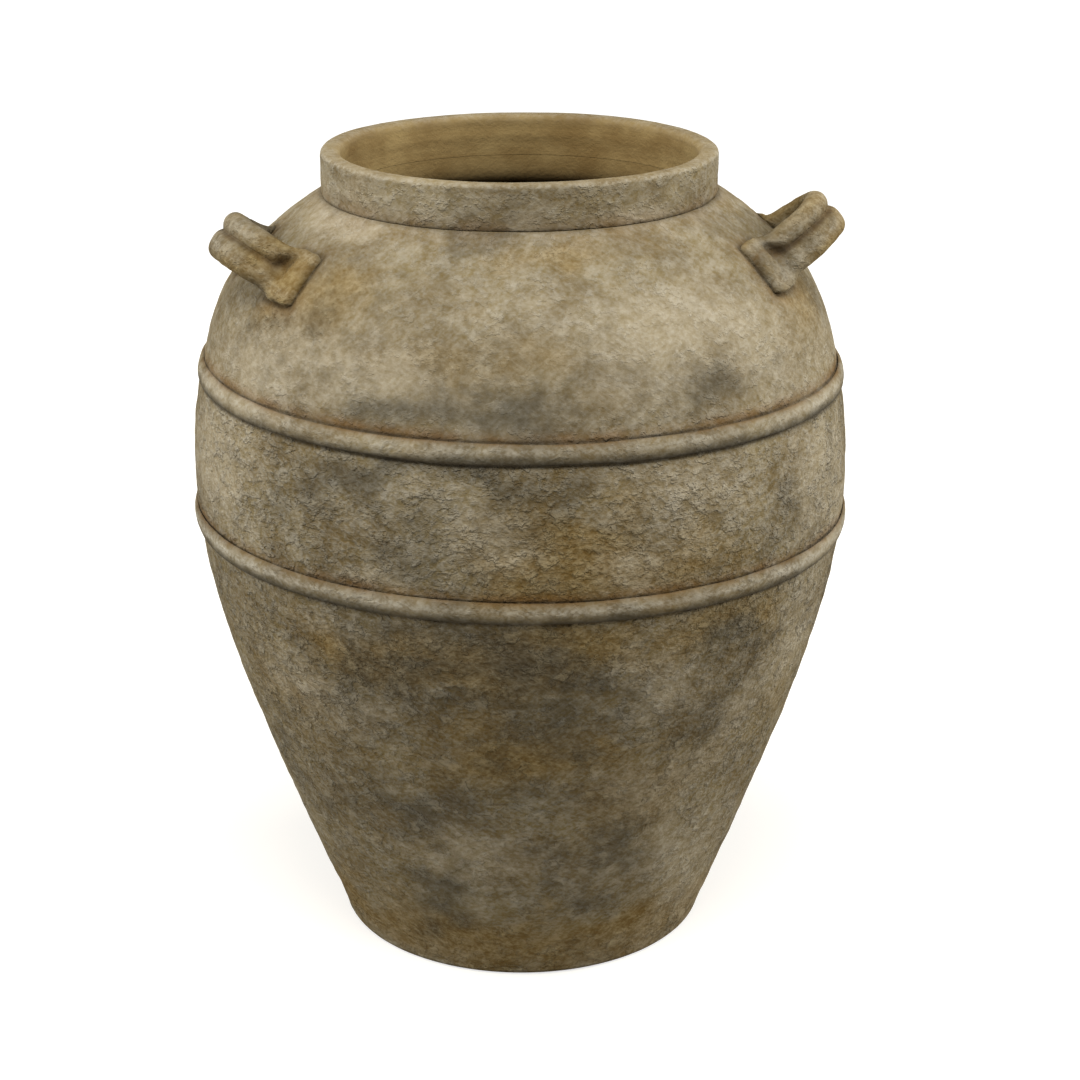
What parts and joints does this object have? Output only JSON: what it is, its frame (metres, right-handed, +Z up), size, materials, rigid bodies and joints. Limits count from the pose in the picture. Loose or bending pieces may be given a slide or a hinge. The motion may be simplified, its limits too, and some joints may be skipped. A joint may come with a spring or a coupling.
{
  "type": "storage jar",
  "caption": "Tall round-shouldered clay storage jar on a narrow flat foot, with an open upright collar, raised cordons round the belly and double-rolled strap handles on the shoulder.",
  "frame": {"origin": "centre of the flat foot, on the floor", "axes": "+Z up along the jar's axis, -Y towards the viewer at the front, +X to the viewer's right"},
  "size_m": [0.458, 0.458, 0.56],
  "materials": {
    "aged_clay": "matte, unglazed, mottled tan, ochre and grey, with pale dry edges and dark crevices",
    "bare_clay": "matte, unglazed, plain tan"
  },
  "bodies": {
    "root": {"base_slab": "aged_clay", "base_corner_coil": "bare_clay", "lower_wall": "aged_clay", "belly_wall": "aged_clay", "shoulder_wall": "aged_clay", "collar": "aged_clay", "lower_cordon": "aged_clay", "upper_cordon": "aged_clay", "left_handle": "aged_clay", "right_handle": "aged_clay"}
  },
  "joints": []
}
